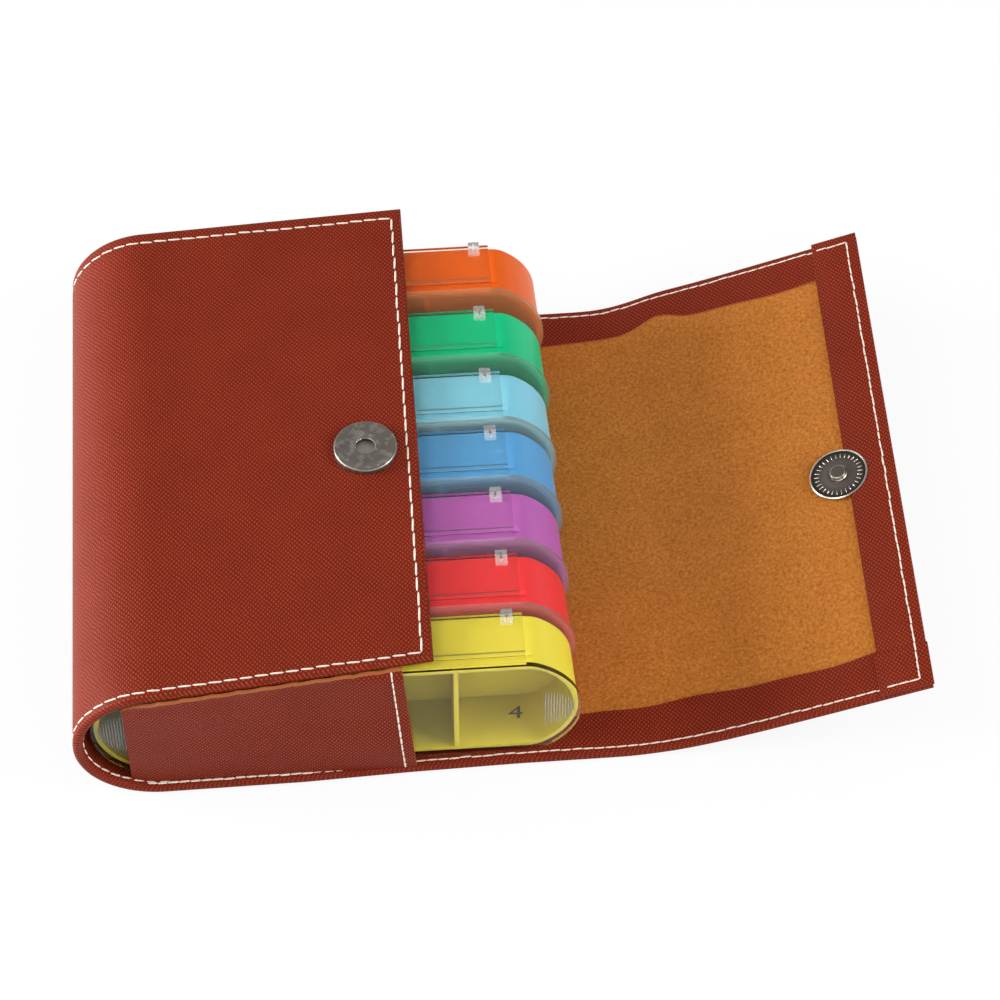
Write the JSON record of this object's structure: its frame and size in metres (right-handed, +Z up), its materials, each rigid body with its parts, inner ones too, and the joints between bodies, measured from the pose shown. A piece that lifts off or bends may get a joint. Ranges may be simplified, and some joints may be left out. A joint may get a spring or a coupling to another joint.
{
  "type": "weekly pill organizer",
  "caption": "Leather wallet case with a felt-lined folding flap and magnetic snap, holding a row of coloured lozenge-shaped pill boxes with clear sliding lids.",
  "frame": {"origin": "on the table under the bottom panel, at the middle of the boxes' length and of the case's width", "axes": "+X along the boxes towards the flap, +Y from the front box to the rear box, +Z up"},
  "size_m": [0.2362, 0.1682, 0.0494],
  "materials": {
    "leather": "cross-grained artificial leather",
    "felt": "brushed ochre felt",
    "socket_metal": "pewter plating",
    "stud_metal": "gunmetal plating",
    "magnet": "bare sintered magnet",
    "lid_clear": "clear moulded plastic",
    "tray_yellow": "satin moulded plastic",
    "tray_red": "satin moulded plastic",
    "tray_purple": "satin moulded plastic",
    "tray_blue": "satin moulded plastic",
    "tray_light_blue": "satin moulded plastic",
    "tray_green": "satin moulded plastic",
    "tray_orange": "satin moulded plastic"
  },
  "bodies": {
    "case": {"case_wrap": "leather", "case_lining": "felt", "front_gusset": "leather", "rear_gusset": "leather", "snap_socket_cap": "socket_metal", "snap_socket_magnet": "magnet", "snap_socket_base": "socket_metal", "snap_socket_washer": "socket_metal"},
    "flap_1": {"flap_leather_1": "leather", "flap_felt_1": "felt"},
    "flap_2": {"flap_leather_2": "leather", "flap_felt_2": "felt"},
    "flap_3": {"flap_leather_3": "leather", "flap_felt_3": "felt"},
    "flap_4": {"flap_leather_4": "leather", "flap_felt_4": "felt"},
    "flap_5": {"flap_leather_5": "leather", "flap_felt_5": "felt"},
    "flap_cover": {"flap_cover_leather": "leather", "flap_cover_felt": "felt", "snap_stud_plate": "stud_metal", "snap_stud_post": "stud_metal", "snap_stud_washer": "stud_metal"},
    "box_1": {"tray_1": "tray_yellow"},
    "box_lid_1": {"lid_1": "lid_clear"},
    "box_2": {"tray_2": "tray_red"},
    "box_lid_2": {"lid_2": "lid_clear"},
    "box_3": {"tray_3": "tray_purple"},
    "box_lid_3": {"lid_3": "lid_clear"},
    "box_4": {"tray_4": "tray_blue"},
    "box_lid_4": {"lid_4": "lid_clear"},
    "box_5": {"tray_5": "tray_light_blue"},
    "box_lid_5": {"lid_5": "lid_clear"},
    "box_6": {"tray_6": "tray_green"},
    "box_lid_6": {"lid_6": "lid_clear"},
    "box_7": {"tray_7": "tray_orange"},
    "box_lid_7": {"lid_7": "lid_clear"}
  },
  "joints": [
    {"name": "flap_fold_1", "type": "hinge", "parent": "case", "child": "flap_1", "pos_m": [0.05429, 0, 0.0028], "axis": [0, 1, 0], "range_deg": [-30, 0]},
    {"name": "flap_fold_2", "type": "hinge", "parent": "flap_1", "child": "flap_2", "pos_m": [0.0626, 0, 0.0028], "axis": [0, 1, 0], "range_deg": [-30, 0]},
    {"name": "flap_fold_3", "type": "hinge", "parent": "flap_2", "child": "flap_3", "pos_m": [0.07482, 0, 0.0028], "axis": [0, 1, 0], "range_deg": [-30, 0]},
    {"name": "flap_fold_4", "type": "hinge", "parent": "flap_3", "child": "flap_4", "pos_m": [0.08704, 0, 0.0028], "axis": [0, 1, 0], "range_deg": [-14, 16]},
    {"name": "flap_fold_5", "type": "hinge", "parent": "flap_4", "child": "flap_5", "pos_m": [0.09879, 0, 0.00617], "axis": [0, 1, 0], "range_deg": [-28, 2]},
    {"name": "flap_fold_6", "type": "hinge", "parent": "flap_5", "child": "flap_cover", "pos_m": [0.11754, 0, 0.01226], "axis": [0, 1, 0], "range_deg": [-28, 2]},
    {"name": "box_slide_1", "type": "slide", "parent": "case", "child": "box_1", "axis": [1, 0, 0], "range_m": [0, 0.032]},
    {"name": "lid_slide_1", "type": "slide", "parent": "box_1", "child": "box_lid_1", "axis": [1, 0, 0], "range_m": [0, 0.032]},
    {"name": "box_slide_2", "type": "slide", "parent": "case", "child": "box_2", "axis": [1, 0, 0], "range_m": [0, 0.032]},
    {"name": "lid_slide_2", "type": "slide", "parent": "box_2", "child": "box_lid_2", "axis": [1, 0, 0], "range_m": [0, 0.032]},
    {"name": "box_slide_3", "type": "slide", "parent": "case", "child": "box_3", "axis": [1, 0, 0], "range_m": [0, 0.032]},
    {"name": "lid_slide_3", "type": "slide", "parent": "box_3", "child": "box_lid_3", "axis": [1, 0, 0], "range_m": [0, 0.032]},
    {"name": "box_slide_4", "type": "slide", "parent": "case", "child": "box_4", "axis": [1, 0, 0], "range_m": [0, 0.032]},
    {"name": "lid_slide_4", "type": "slide", "parent": "box_4", "child": "box_lid_4", "axis": [1, 0, 0], "range_m": [0, 0.032]},
    {"name": "box_slide_5", "type": "slide", "parent": "case", "child": "box_5", "axis": [1, 0, 0], "range_m": [0, 0.032]},
    {"name": "lid_slide_5", "type": "slide", "parent": "box_5", "child": "box_lid_5", "axis": [1, 0, 0], "range_m": [0, 0.032]},
    {"name": "box_slide_6", "type": "slide", "parent": "case", "child": "box_6", "axis": [1, 0, 0], "range_m": [0, 0.032]},
    {"name": "lid_slide_6", "type": "slide", "parent": "box_6", "child": "box_lid_6", "axis": [1, 0, 0], "range_m": [0, 0.032]},
    {"name": "box_slide_7", "type": "slide", "parent": "case", "child": "box_7", "axis": [1, 0, 0], "range_m": [0, 0.032]},
    {"name": "lid_slide_7", "type": "slide", "parent": "box_7", "child": "box_lid_7", "axis": [1, 0, 0], "range_m": [0, 0.032]}
  ],
  "couplings": [
    {"joint": "flap_fold_2", "follows": "flap_fold_1", "ratio": 1},
    {"joint": "flap_fold_3", "follows": "flap_fold_1", "ratio": 1},
    {"joint": "flap_fold_6", "follows": "flap_fold_5", "ratio": 1}
  ]
}
